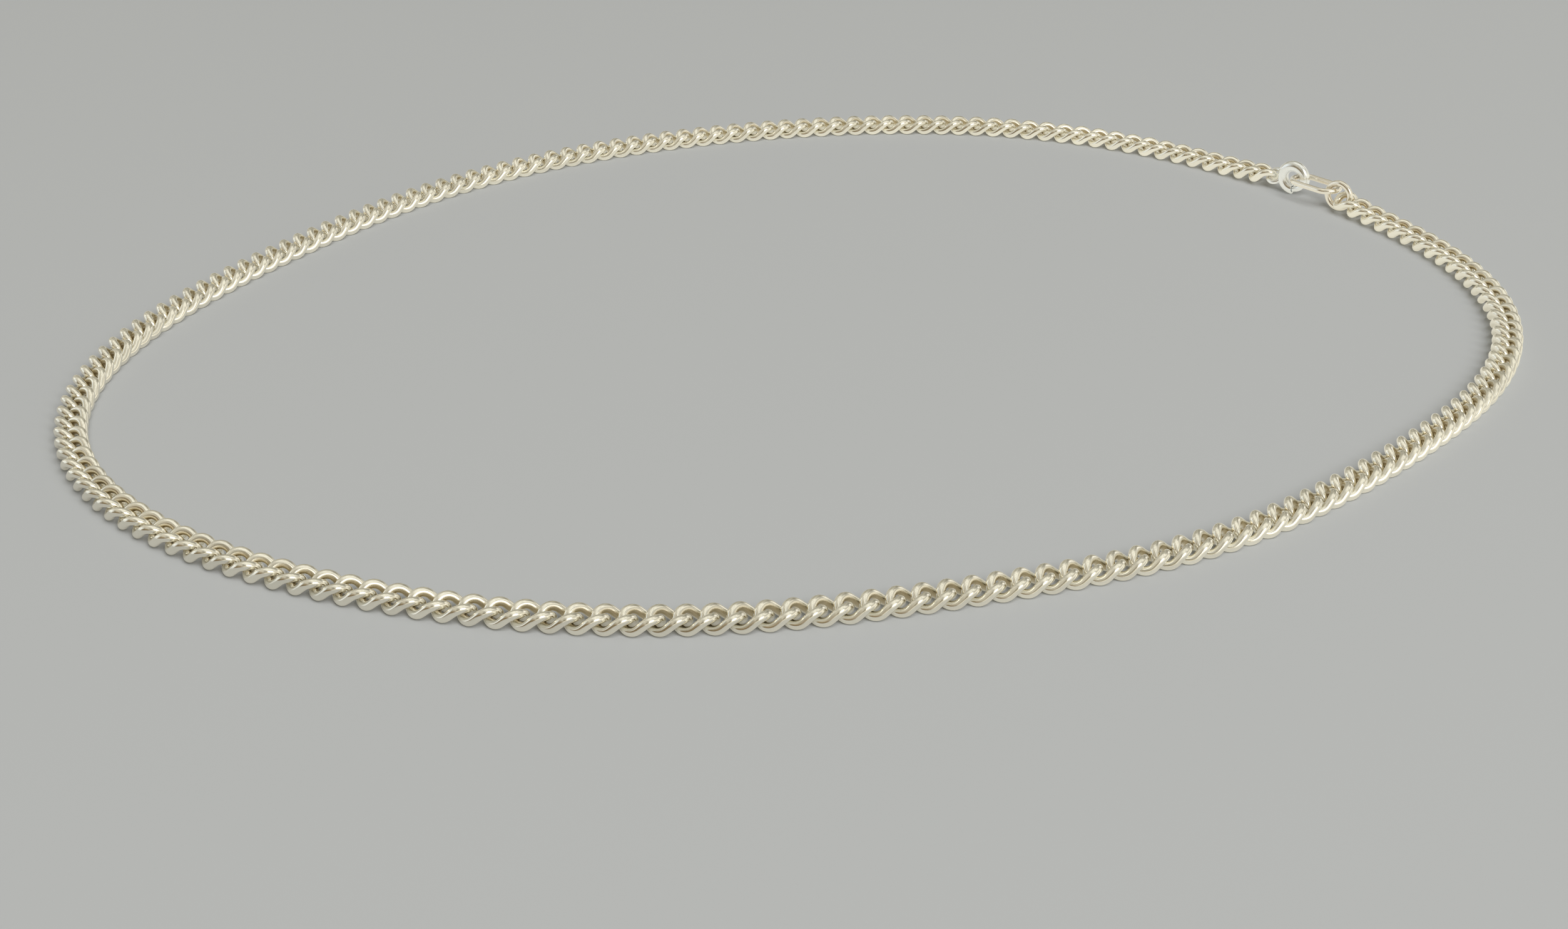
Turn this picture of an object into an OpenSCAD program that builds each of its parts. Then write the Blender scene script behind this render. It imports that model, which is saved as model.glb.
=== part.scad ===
/* [Chain] */
// Number of links in the whole chain
link_count = 181; // [150:1:200]
// Distance from one link to the next along the chain, in millimetres
link_pitch = 3; // [2.95:0.05:3.05]
// Thickness of the links' round wire
wire_d = 1.12; // [1.04:0.02:1.12]
// Width of a link, from the middle of one bar to the middle of the other
link_w = 3.1; // [3:0.05:3.2]

/* [Bolt ring] */
// Diameter of the bolt ring along the middle of its tube
bolt_ring_d = 3.8; // [3.8:0.02:3.84]
// Thickness of the bolt ring's tube
bolt_tube_d = 1.7; // [1.6:0.02:1.7]
// Angle of the ring that its mouth takes up, in degrees
mouth = 70; // [66:1:72]
// How far the slider can be drawn back into the tube, in degrees
slider_travel = 78; // [74:1:80]

/* [Catch and end ring] */
// Length of the catch ring, along the middle of its wire
catch_len = 8.3; // [8.25:0.05:8.35]
// Width of the catch ring, along the middle of its wire
catch_w = 4.1; // [4:0.05:4.2]
// Thickness of the catch ring's wire
catch_wire = 0.9; // [0.8:0.02:0.9]
// Diameter of the end ring along the middle of its wire
end_ring_d = 4; // [3.98:0.02:4.02]
// Thickness of the end ring's wire
end_wire = 0.95; // [0.85:0.02:0.95]

/* [Hidden] */

// Outline of the lying loop: rows of [waves round the loop, share along cosine, share along sine]
WAVES = [
    [2, 0.078, 0.107],
    [3, 0.010, -0.023],
    [4, 0.003, 0.016],
    [5, 0.010, -0.006],
    [6, 0.003, 0.007],
    [7, 0.005, 0],
];
// Direction from the loop's middle to the bolt ring
CLASP_AT = 35.9;
// Room between two neighbouring links where one hooks into the other
HOOK_GAP = 0.16;
// Tilt of a link's ends out of the chain's plane
TWIST = 50;
// Joints of the wire: the bars are this much thinner than the bends, and run this far into them
JOINT_STEP = 0.02;
JOINT_LAP = 0.07;
// Each bend stops this short of the link's tip, inside the tip's sleeve
TIP_SHY = 0.5;
WIRE_FN = 16;
BEND_FN = 60;

// Half length of a link, to the middle of its wire, and the run of one quarter of it
reach = (link_pitch + wire_d + HOOK_GAP) / 2;
half_w = link_w / 2;
lead = half_w / cos(TWIST);
lead_rise = lead * sin(TWIST);
bar_slope = atan(lead_rise / reach);
half_bar = norm([reach, lead_rise]) - lead;
bend_turn = 90 + asin(sin(bar_slope) * sin(TWIST));
bend_r = lead / tan(bend_turn / 2);
bar_dir = [cos(bar_slope), 0, -sin(bar_slope)];
tip_dir = [0, -cos(TWIST), sin(TWIST)];
bend_side = unit(tip_dir - (tip_dir * bar_dir) * bar_dir);
bend_mid = [0, half_w, 0] + half_bar * bar_dir + bend_r * bend_side;
bend_up = cross(-bend_side, bar_dir);
// Height of the chain's middle over the surface that it lies on
chain_z = bend_r * norm([bend_side.z, bar_dir.z]) - bend_mid.z + wire_d / 2;

// Where things sit along the chain, measured from the bolt ring's middle towards the left chain
bolt_r = bolt_ring_d / 2;
bolt_z = bolt_r + bolt_tube_d / 2;
eye_r = 1.2;
eye_wire = 0.7;
eye_drop = 22;
eye_bite = 0.18;
eye_tilt = 44;
eye_at = bolt_r * cos(eye_drop) + bolt_tube_d / 2 + eye_r - eye_bite;
left_at = eye_at + reach;
catch_at = -catch_len / 2 - 0.29;
catch_z = 2.95;
catch_pitch = -1.8;
end_at = -9.24;
end_z = (end_ring_d + end_wire) / 2;
right_at = -11.48;
ring_turn = 10;
// The chain's ends rise to the standing rings by this height, over this length
lift = 0.54;
lift_run = 10.5;

// Inside of the bolt ring's tube, and the slider in it; angles count up from the right chain's side
bore_d = 1.12;
slider_d = 0.88;
mouth_from = -20 - mouth;
slider_tip = -20 + 8;
slider_root = mouth_from - 25;
knob_at = slider_root + 10;
knob_d = 0.5;
knob_head_d = 0.9;
knob_head_h = 0.35;
knob_out = 0.75;
slot_w = 0.74;
slot_slack = 10;

left_count = ceil(link_count / 2);
right_count = link_count - left_count;
loop_len = (link_count - 1) * link_pitch + left_at - right_at;
loop_r = loop_len / sum([for (a = [0:359]) norm(outline(a + 1) - outline(a))]);
OUTLINE = [for (a = [0:359]) outline(a)];
box_mid = [for (k = [0:1]) (max([for (p = OUTLINE) p[k]]) + min([for (p = OUTLINE) p[k]])) / 2];

function unit(v) = v / norm(v);
function sum(v) = v * [for (x = v) 1];
// Distance of the outline from the loop's middle, with a mean of one, and its slope
function swell(a) = 1 + sum([for (w = WAVES) w[1] * cos(w[0] * a) + w[2] * sin(w[0] * a)]);
function slope(a) = sum([for (w = WAVES) w[0] * (w[2] * cos(w[0] * a) - w[1] * sin(w[0] * a))]);
function outline(a) = swell(a) * [cos(a), sin(a)];
// Direction round the loop reached from direction a by going d millimetres along it
function speed(a) = loop_r * norm([swell(a), slope(a)]) * PI / 180;
function step(a, d) = a + d / speed(a + d / speed(a) / 2);
function along(d) = step(step(CLASP_AT, d / 2), d / 2);
// Heading of the chain at direction a, seen from above, from the left chain to the right one
function heading(a) = a - 90 - atan(slope(a) / swell(a));
// Directions of a run of links that starts at distance from and goes on by steps of by
function run(from, by, count) = [for (k = 0, a = along(from); k < count; a = step(a, by), k = k + 1) a];
function rise(u) = u < lift_run ? lift * pow(1 - u / lift_run, 2) : 0;
function lean(u) = u < lift_run ? atan(2 * lift / lift_run * (1 - u / lift_run)) : 0;

// Puts something at direction a round the loop, along the chain and at height z
module station(a, z) {
    p = loop_r * (outline(a) - box_mid);
    translate([p.x, p.y, z]) rotate([0, 0, heading(a)]) children();
}

// One round bend of a link, from the end of a bar to the link's tip
module bend() {
    multmatrix([
        [-bend_side.x, bar_dir.x, bend_up.x, bend_mid.x],
        [-bend_side.y, bar_dir.y, bend_up.y, bend_mid.y],
        [-bend_side.z, bar_dir.z, bend_up.z, bend_mid.z],
        [0, 0, 0, 1],
    ])
        rotate_extrude(angle = bend_turn - TIP_SHY, $fn = BEND_FN)
            translate([bend_r, 0]) circle(d = wire_d, $fn = WIRE_FN);
}

// The straight middle of a link's bar, which slants from one face of the chain to the other
module bar() {
    translate([0, half_w, 0]) rotate([0, 90 + bar_slope, 0])
        cylinder(d = wire_d - JOINT_STEP, h = 2 * (half_bar + JOINT_LAP), center = true, $fn = WIRE_FN);
}

// The very end of a link, where two bends meet
module tip() {
    translate([reach, 0, 0]) rotate([90 - TWIST, 0, 0])
        cylinder(d = wire_d + JOINT_STEP, h = 2 * JOINT_LAP, center = true, $fn = WIRE_FN);
}

// A twisted oval link: four bends, two bars and two tips
module link() {
    union() {
        for (turn = [[0, 0, 0], [180, 0, 0], [0, 180, 0], [0, 0, 180]]) rotate(turn) bend();
        for (turn = [0, 180]) rotate([0, 0, turn]) {
            bar();
            tip();
        }
    }
}

// A run of links that starts at the clasp; way is 1 for the left chain and -1 for the right one
module links(from, way, count) {
    dirs = run(from, way * link_pitch, count);
    for (k = [0:count - 1])
        station(dirs[k], chain_z + rise(k * link_pitch))
            rotate([0, -way * lean(k * link_pitch), 0]) link();
}

module chain_left() {
    color("silver") links(left_at, 1, left_count);
}

module chain_right() {
    color("silver") links(right_at, -1, right_count);
}

// Stands a ring up along the chain, turned a little towards the front
module standing(at, z) {
    station(along(at), z) rotate([0, 0, ring_turn]) rotate([90, 0, 0]) children();
}

// A length of round wire bent to an arc about the origin
module arc(from, to, radius, d) {
    rotate([0, 0, from]) rotate_extrude(angle = to - from, $fn = BEND_FN)
        translate([radius, 0]) circle(d = d, $fn = WIRE_FN);
}

// The bolt ring's small soldered eye, for the left chain's last link
module eye() {
    station(along(0), bolt_z)
        translate([-eye_at, 0, -bolt_r * sin(eye_drop)]) rotate([eye_tilt, 0, 0])
            rotate_extrude($fn = BEND_FN) translate([eye_r, 0]) circle(d = eye_wire, $fn = WIRE_FN);
}

// The hollow ring with its mouth, its slot for the knob and its eye
module bolt_ring() {
    color("whitesmoke") difference() {
        union() {
            standing(0, bolt_z) arc(-20, mouth_from + 360, bolt_r, bolt_tube_d);
            eye();
        }
        standing(0, bolt_z) {
            arc(-30, mouth_from + 370, bolt_r, bore_d);
            rotate([0, 0, knob_at - slider_travel - slot_slack])
                rotate_extrude(angle = slider_travel + 2 * slot_slack, $fn = BEND_FN)
                    translate([bolt_r - slot_w / 2, -bolt_tube_d]) square([slot_w, bolt_tube_d]);
        }
    }
}

// The spring loaded slider that closes the mouth, with the knob that draws it back
module bolt_slider() {
    color("silver") standing(0, bolt_z) {
        arc(slider_root, slider_tip, bolt_r, slider_d);
        rotate([0, 0, knob_at]) translate([bolt_r, 0, 0]) rotate([180, 0, 0]) {
            cylinder(d = knob_d, h = bolt_tube_d / 2 + knob_out - knob_head_h / 2, $fn = WIRE_FN);
            translate([0, 0, bolt_tube_d / 2 + knob_out - knob_head_h])
                cylinder(d = knob_head_d, h = knob_head_h, $fn = WIRE_FN);
        }
    }
}

// The oval ring that the bolt ring closes on
module catch_ring() {
    run_h = (catch_len - catch_w) / 2;
    color("antiquewhite") station(along(catch_at), catch_z) rotate([0, catch_pitch, 0]) {
        for (turn = [0, 180]) rotate([0, 0, turn]) {
            translate([run_h, 0, 0]) arc(-90, 90, catch_w / 2, catch_wire);
            translate([0, catch_w / 2, 0]) rotate([0, 90, 0])
                cylinder(d = catch_wire - JOINT_STEP, h = 2 * (run_h + JOINT_LAP), center = true, $fn = WIRE_FN);
        }
    }
}

// The standing ring between the catch ring and the right chain
module end_ring() {
    color("ivory") standing(end_at, end_z)
        rotate_extrude($fn = BEND_FN) translate([end_ring_d / 2, 0]) circle(d = end_wire, $fn = WIRE_FN);
}

chain_left();
chain_right();
bolt_ring();
bolt_slider();
catch_ring();
end_ring();
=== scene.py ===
"""A silver curb chain necklace, closed by its bolt ring and lying in a loose loop on a pale floor.

Lengths are in millimetres until a mesh is made, and every mesh is in metres.
"""

import logging
import math
from collections.abc import Sequence
from dataclasses import dataclass
from enum import Enum

import bmesh
import bpy
import numpy as np
from mathutils import Matrix, Vector


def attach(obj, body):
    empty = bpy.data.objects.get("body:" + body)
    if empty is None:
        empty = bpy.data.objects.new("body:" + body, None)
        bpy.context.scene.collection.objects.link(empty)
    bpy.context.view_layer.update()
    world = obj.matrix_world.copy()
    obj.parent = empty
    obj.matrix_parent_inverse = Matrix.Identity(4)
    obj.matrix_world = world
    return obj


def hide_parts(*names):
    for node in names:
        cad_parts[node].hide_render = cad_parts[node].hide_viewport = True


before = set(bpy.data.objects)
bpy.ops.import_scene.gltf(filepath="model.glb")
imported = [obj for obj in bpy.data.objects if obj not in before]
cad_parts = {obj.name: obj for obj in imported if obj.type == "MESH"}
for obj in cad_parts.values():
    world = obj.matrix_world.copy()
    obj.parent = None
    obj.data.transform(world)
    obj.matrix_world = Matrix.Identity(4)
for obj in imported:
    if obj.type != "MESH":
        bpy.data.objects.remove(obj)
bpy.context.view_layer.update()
MM = 0.001
LINK_COUNT = 181
# Points closer than this, in millimetres, are merged
SAME_POINT = 1e-4

log = logging.getLogger("necklace")


class Body(Enum):
    """The two parts that move against each other."""

    NECKLACE = "necklace"
    SLIDER = "slider"


class Strand(Enum):
    """The two halves of the chain, with the way that each runs round the loop from the clasp."""

    LEFT = ("chain_left", 1)
    RIGHT = ("chain_right", -1)

    @property
    def node(self) -> str:
        """Name of the half's solids."""
        return self.value[0]

    @property
    def way(self) -> int:
        """1 towards the left end of the loop, -1 towards the right end."""
        return self.value[1]


def unit(v: np.ndarray) -> np.ndarray:
    """The direction of v."""
    return v / np.linalg.norm(v)


def turn(axis: str, angle: float) -> np.ndarray:
    """The matrix that turns by angle, in degrees, about a main axis."""
    return np.array(Matrix.Rotation(math.radians(angle), 4, axis))


def shift(x: float = 0.0, y: float = 0.0, z: float = 0.0) -> np.ndarray:
    """The matrix that moves by x, y and z."""
    return np.array(Matrix.Translation((x, y, z)))


def placed(points: np.ndarray, matrix: np.ndarray) -> np.ndarray:
    """Points, in rows or rings, moved by a matrix."""
    return points @ matrix[:3, :3].T + matrix[:3, 3]


def mesh_object(name: str, points: np.ndarray, faces: Sequence = (),
                edges: Sequence = ()) -> bpy.types.Object:
    """Makes an object in the scene from points in millimetres.

    Args:
        name: The object's name.
        points: One row of x, y and z for each point.
        faces: Lists of point numbers.
        edges: Pairs of point numbers, where there are no faces.

    Returns:
        The new object, at the origin.
    """
    mesh = bpy.data.meshes.new(name)
    mesh.from_pydata([tuple(p) for p in points * MM], list(edges), list(faces))
    mesh.validate()
    obj = bpy.data.objects.new(name, mesh)
    bpy.context.scene.collection.objects.link(obj)
    return obj


def settle(obj: bpy.types.Object, name: str) -> bpy.types.Object:
    """Turns an object and its modifiers into one plain mesh.

    Args:
        obj: The object, which is removed.
        name: The name of the plain object.

    Returns:
        The plain object, at the origin and without modifiers.
    """
    graph = bpy.context.evaluated_depsgraph_get()
    mesh = bpy.data.meshes.new_from_object(
        obj.evaluated_get(graph), preserve_all_data_layers=True, depsgraph=graph)
    old = obj.data
    bpy.data.objects.remove(obj)
    if old.users == 0:
        bpy.data.meshes.remove(old)
    mesh.name = name
    plain = bpy.data.objects.new(name, mesh)
    bpy.context.scene.collection.objects.link(plain)
    return plain


def hand_over(obj: bpy.types.Object, metal: bpy.types.Material, node: str, body: Body) -> None:
    """Dresses a finished piece and puts it in the place of its solid.

    Args:
        obj: The finished piece.
        metal: Its finish.
        node: The solid that it stands for.
        body: The part that it moves with.
    """
    obj.data.materials.clear()
    obj.data.materials.append(metal)
    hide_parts(node)
    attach(obj, body.value)
    log.info("%s: %d faces in place of %s", obj.name, len(obj.data.polygons), node)


def connect(tree: bpy.types.NodeTree, kind: str, inputs: dict,
            **settings: object) -> bpy.types.Node:
    """Adds a node and fills its inputs.

    Args:
        tree: The tree that the node goes in.
        kind: The node's type.
        inputs: Sockets or plain values, by the input's name, or by its number where names repeat.
        settings: The node's own choices, made first.

    Returns:
        The new node.
    """
    node = tree.nodes.new(kind)
    for name, value in settings.items():
        setattr(node, name, value)
    for key, value in inputs.items():
        if isinstance(key, int):
            socket = node.inputs[key]
        else:
            socket = next(s for s in node.inputs if s.enabled and s.name == key)
        if isinstance(value, bpy.types.NodeSocket):
            tree.links.new(value, socket)
        else:
            socket.default_value = value
    return node


def calculate(tree: bpy.types.NodeTree, operation: str, *values: object,
              clamp: bool = False) -> bpy.types.NodeSocket:
    """One Math node.

    Args:
        tree: The tree that the node goes in.
        operation: What it does.
        values: Sockets or numbers, in the order of the node's inputs.
        clamp: Whether the result is kept between 0 and 1.

    Returns:
        The result's socket.
    """
    node = connect(tree, "ShaderNodeMath", dict(enumerate(values)),
                   operation=operation, use_clamp=clamp)
    return node.outputs["Value"]


@dataclass(frozen=True)
class Silver:
    """A polished silver with fine wear, and in its hollows, where cloth and fingers don't reach,
    tarnish mixed with painted shade.

    The meshes carry two numbers that it reads: how hollow a place is, and each link's own tone.
    """

    name: str
    tint: tuple[float, float, float]
    tarnish_and_shade_colour: tuple[float, float, float]
    tarnish_and_shade_share: float
    roughness: float
    wear: float
    tarnish_and_shade_roughness: float = 0.25
    spot_size: float = 2.6
    spot_detail: float = 3.0
    spot_gain: float = 0.9
    spot_start: float = -0.2
    grain_size: float = 0.22
    grain_detail: float = 4.0
    grain_shade: float = 0.06
    tone_span: float = 0.1
    scratch_size: float = 0.09
    scratch_detail: float = 2.0
    scratch_depth: float = 0.0025
    scratch_strength: float = 0.6
    scratch_stretch: tuple[float, float, float] = (1.0, 0.16, 0.6)
    scratch_turn: float = 35.0

    def material(self) -> bpy.types.Material:
        """Builds the node material.

        Returns:
            The material, ready for every piece of this silver.
        """
        material = bpy.data.materials.new(self.name)
        material.use_nodes = True
        tree = material.node_tree
        shader = tree.nodes["Principled BSDF"]
        shader.inputs["Metallic"].default_value = 1.0
        place = connect(tree, "ShaderNodeTexCoord", {}).outputs["Object"]
        grain = self._noise(tree, place, self.grain_size, self.grain_detail)
        tarnish_and_shade = self._tarnish_and_shade(tree, place)
        rough = calculate(tree, "MULTIPLY_ADD", grain, self.wear, self.roughness - self.wear / 2)
        rough = calculate(tree, "MULTIPLY_ADD", tarnish_and_shade, self.tarnish_and_shade_roughness, rough)
        tree.links.new(self._colour(tree, tarnish_and_shade, grain), shader.inputs["Base Color"])
        tree.links.new(rough, shader.inputs["Roughness"])
        tree.links.new(self._scratches(tree, place), shader.inputs["Normal"])
        return material

    def _tarnish_and_shade(self, tree: bpy.types.NodeTree,
               place: bpy.types.NodeSocket) -> bpy.types.NodeSocket:
        """How much tarnish and painted shade each point gets: only in the hollows, and there in
        spots.

        Args:
            tree: The material's nodes.
            place: Where the point is.

        Returns:
            The share of tarnish and painted shade.
        """
        spots = self._noise(tree, place, self.spot_size, self.spot_detail)
        # Tarnish and painted shade: grows where the surface faces the middle of its link or ring
        hollow = self._attribute(tree, "hollow")
        tarnish_and_shade = calculate(tree, "MULTIPLY_ADD", spots, self.spot_gain, self.spot_start)
        tarnish_and_shade = calculate(tree, "ADD", tarnish_and_shade, hollow)
        tarnish_and_shade = calculate(tree, "MULTIPLY", tarnish_and_shade, hollow, clamp=True)
        return calculate(tree, "MULTIPLY", tarnish_and_shade, self.tarnish_and_shade_share, clamp=True)

    def _colour(self, tree: bpy.types.NodeTree, tarnish_and_shade: bpy.types.NodeSocket,
                grain: bpy.types.NodeSocket) -> bpy.types.NodeSocket:
        """The silver's colour with its tarnish and painted shade, lighter or darker by link and by
        grain.

        Args:
            tree: The material's nodes.
            tarnish_and_shade: The share of tarnish and painted shade.
            grain: A fine noise.

        Returns:
            The colour.
        """
        # The brown mix colour stands both for tarnish and for painted shade in the hollows
        mixed = connect(tree, "ShaderNodeMix", {
            "Factor": tarnish_and_shade, "A": (*self.tint, 1.0), "B": (*self.tarnish_and_shade_colour, 1.0),
        }, data_type="RGBA")
        tone = self._attribute(tree, "tone")
        bright = calculate(tree, "MULTIPLY_ADD", tone, self.tone_span, 1 - self.tone_span / 2)
        bright = calculate(tree, "MULTIPLY_ADD", grain, self.grain_shade, bright)
        bright = calculate(tree, "SUBTRACT", bright, self.grain_shade / 2)
        shade = connect(tree, "ShaderNodeHueSaturation",
                        {"Color": mixed.outputs["Result"], "Value": bright})
        return shade.outputs["Color"]

    def _scratches(self, tree: bpy.types.NodeTree,
                   place: bpy.types.NodeSocket) -> bpy.types.NodeSocket:
        """The surface's direction, disturbed by long fine scratches.

        Args:
            tree: The material's nodes.
            place: Where the point is.

        Returns:
            The direction.
        """
        long_way = connect(tree, "ShaderNodeMapping", {
            "Vector": place,
            "Rotation": (0.0, 0.0, math.radians(self.scratch_turn)),
            "Scale": self.scratch_stretch,
        })
        height = self._noise(tree, long_way.outputs["Vector"], self.scratch_size,
                             self.scratch_detail)
        bump = connect(tree, "ShaderNodeBump", {
            "Strength": self.scratch_strength, "Distance": self.scratch_depth * MM,
            "Height": height,
        })
        return bump.outputs["Normal"]

    @staticmethod
    def _noise(tree: bpy.types.NodeTree, place: bpy.types.NodeSocket, size: float,
               detail: float) -> bpy.types.NodeSocket:
        """A noise.

        Args:
            tree: The material's nodes.
            place: Where the point is.
            size: About how wide its spots are, in millimetres.
            detail: How many finer noises lie over it.

        Returns:
            The noise, which swings about a half.
        """
        noise = connect(tree, "ShaderNodeTexNoise",
                        {"Vector": place, "Scale": 1 / (size * MM), "Detail": detail})
        return noise.outputs["Fac"]

    @staticmethod
    def _attribute(tree: bpy.types.NodeTree, name: str) -> bpy.types.NodeSocket:
        """A number that the mesh carries."""
        return connect(tree, "ShaderNodeAttribute", {}, attribute_name=name).outputs["Fac"]


# Each second colour is tarnish and painted shade together, laid in the hollows
CHAIN_SILVER = Silver("chain_silver", tint=(0.95, 0.933, 0.86), tarnish_and_shade_colour=(0.60, 0.49, 0.29),
                      tarnish_and_shade_share=0.8, roughness=0.16, wear=0.12)
CLASP_SILVER = Silver("clasp_silver", tint=(0.94, 0.97, 1.0), tarnish_and_shade_colour=(0.70, 0.69, 0.66),
                      tarnish_and_shade_share=0.5, roughness=0.2, wear=0.1)
RING_SILVER = Silver("ring_silver", tint=(0.95, 0.92, 0.85), tarnish_and_shade_colour=(0.60, 0.48, 0.30),
                     tarnish_and_shade_share=0.6, roughness=0.18, wear=0.12)


@dataclass(frozen=True)
class Route:
    """The lying loop's outline, and places along it.

    Places are measured from the bolt ring's middle towards the left end. The outline's distance
    from its middle swells in waves: rows of waves round the loop, share along cosine and share
    along sine.
    """

    length: float
    clasp_at: float = 35.9
    waves: tuple[tuple[int, float, float], ...] = (
        (2, 0.078, 0.107),
        (3, 0.010, -0.023),
        (4, 0.003, 0.016),
        (5, 0.010, -0.006),
        (6, 0.003, 0.007),
        (7, 0.005, 0.0),
    )

    def swell(self, a: float) -> float:
        """Distance of the outline from its middle at direction a, with a mean of one."""
        return 1 + sum(c * math.cos(n * a) + s * math.sin(n * a) for n, c, s in self.waves)

    def slope(self, a: float) -> float:
        """How fast the distance grows with the direction."""
        return sum(n * (s * math.cos(n * a) - c * math.sin(n * a)) for n, c, s in self.waves)

    def outline(self, a: float) -> np.ndarray:
        """The outline's point at direction a, for a mean distance of one."""
        return self.swell(a) * np.array([math.cos(a), math.sin(a)])

    def degrees(self) -> np.ndarray:
        """The outline's points, one for each degree."""
        return np.array([self.outline(math.radians(a)) for a in range(360)])

    @property
    def radius(self) -> float:
        """Mean distance of the outline from its middle.

        Returns:
            The distance that gives the outline its length.
        """
        points = self.degrees()
        sides = np.linalg.norm(points - np.roll(points, 1, axis=0), axis=1)
        return self.length / sides.sum()

    def step(self, a: float, d: float, radius: float) -> float:
        """The direction reached from direction a by going d millimetres round the loop."""
        first = a + d / (radius * math.hypot(self.swell(a), self.slope(a))) / 2
        return a + d / (radius * math.hypot(self.swell(first), self.slope(first)))

    def walk(self, start: float, way: int, stride: float, count: int) -> np.ndarray:
        """Directions along the loop.

        Args:
            start: Where the walk begins, in millimetres from the bolt ring's middle.
            way: 1 towards the left end, -1 towards the right end.
            stride: Length of a step in millimetres.
            count: Number of steps.

        Returns:
            The directions in radians, one more than there are steps.
        """
        radius = self.radius
        a = math.radians(self.clasp_at)
        for _ in range(2):
            a = self.step(a, start / 2, radius)
        directions = [a]
        for _ in range(count):
            directions.append(self.step(directions[-1], way * stride, radius))
        return np.array(directions)

    def points(self, directions: np.ndarray) -> np.ndarray:
        """Places on the floor plan for directions.

        Args:
            directions: The directions in radians.

        Returns:
            Rows of x and y, measured from the middle of the loop's box.
        """
        corners = self.degrees()
        middle = (corners.min(axis=0) + corners.max(axis=0)) / 2
        return self.radius * (np.array([self.outline(a) for a in directions]) - middle)

    def station(self, at: float, z: float) -> np.ndarray:
        """The matrix of a place: x runs along the chain, y outwards and z up.

        Args:
            at: Millimetres from the bolt ring's middle.
            z: Height over the floor.

        Returns:
            The matrix.
        """
        a = self.walk(at, 1, 0.0, 0)[0]
        heading = math.degrees(a - math.atan(self.slope(a) / self.swell(a))) - 90
        x, y = self.points(np.array([a]))[0]
        return shift(x, y, z) @ turn("Z", heading)


@dataclass(frozen=True)
class LinkShape:
    """A twisted oval link of round wire."""

    pitch: float = 3.0
    wire: float = 1.12
    width: float = 3.1
    hook_gap: float = 0.16
    twist: float = math.radians(50)
    bend_steps: int = 10
    wire_sides: int = 14

    @property
    def reach(self) -> float:
        """Half length of the link, to the middle of its wire."""
        return (self.pitch + self.wire + self.hook_gap) / 2

    def quarter(self) -> tuple[np.ndarray, float]:
        """The middle of the wire from the middle of a bar to the link's tip.

        Returns:
            The points, with the tip last, and the height of the link's top over its middle.
        """
        half_width = self.width / 2
        lead = half_width / math.cos(self.twist)
        rise = lead * math.sin(self.twist)
        bar_slope = math.atan(rise / self.reach)
        half_bar = math.hypot(self.reach, rise) - lead
        sweep = math.pi / 2 + math.asin(math.sin(bar_slope) * math.sin(self.twist))
        radius = lead / math.tan(sweep / 2)
        bar_way = np.array([math.cos(bar_slope), 0.0, -math.sin(bar_slope)])
        tip_way = np.array([0.0, -math.cos(self.twist), math.sin(self.twist)])
        side = unit(tip_way - (tip_way @ bar_way) * bar_way)
        middle = np.array([0.0, half_width, 0.0]) + half_bar * bar_way + radius * side
        angles = np.linspace(0.0, sweep, self.bend_steps + 1)[:, None]
        bend = middle + radius * (bar_way * np.sin(angles) - side * np.cos(angles))
        top = radius * math.hypot(side[2], bar_way[2]) - middle[2]
        return np.vstack([[0.0, half_width, 0.0], bend]), top

    def centreline(self) -> np.ndarray:
        """The closed middle line of the wire.

        Returns:
            Its points about the link's middle.
        """
        quarter, _ = self.quarter()
        back = quarter[-2:0:-1] * [1, -1, -1]
        half = np.vstack([quarter, back])
        return np.vstack([half, half * [-1, -1, 1]])

    @property
    def lie(self) -> float:
        """Height of the link's middle over the floor that it lies on."""
        return self.quarter()[1] + self.wire / 2


@dataclass(frozen=True)
class ClaspLayout:
    """Sizes of the rings, and where they and the chain's ends sit.

    Places are in millimetres along the chain, measured from the bolt ring's middle.
    """

    bolt_radius: float = 1.9
    bolt_tube: float = 1.7
    eye_radius: float = 1.2
    eye_wire: float = 0.7
    eye_drop: float = 22.0
    eye_bite: float = 0.18
    eye_tilt: float = 44.0
    catch_length: float = 8.3
    catch_width: float = 4.1
    catch_wire: float = 0.9
    catch_near: float = -0.29
    catch_z: float = 2.95
    catch_pitch: float = -1.8
    end_at: float = -9.24
    end_radius: float = 2.0
    end_wire: float = 0.95
    right_at: float = -11.48
    ring_turn: float = 10.0
    lift: float = 0.54
    lift_run: float = 10.5

    @property
    def bolt_z(self) -> float:
        """Height of the bolt ring's middle."""
        return self.bolt_radius + self.bolt_tube / 2

    @property
    def eye_at(self) -> float:
        """Distance of the eye's middle from the bolt ring's."""
        level = self.bolt_radius * math.cos(math.radians(self.eye_drop))
        return level + self.bolt_tube / 2 + self.eye_radius - self.eye_bite

    @property
    def catch_at(self) -> float:
        """Place of the catch ring's middle."""
        return self.catch_near - self.catch_length / 2

    def rise(self, run: float) -> float:
        """How far the chain is lifted, at a distance from its end."""
        return self.lift * (1 - run / self.lift_run) ** 2 if run < self.lift_run else 0.0


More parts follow.
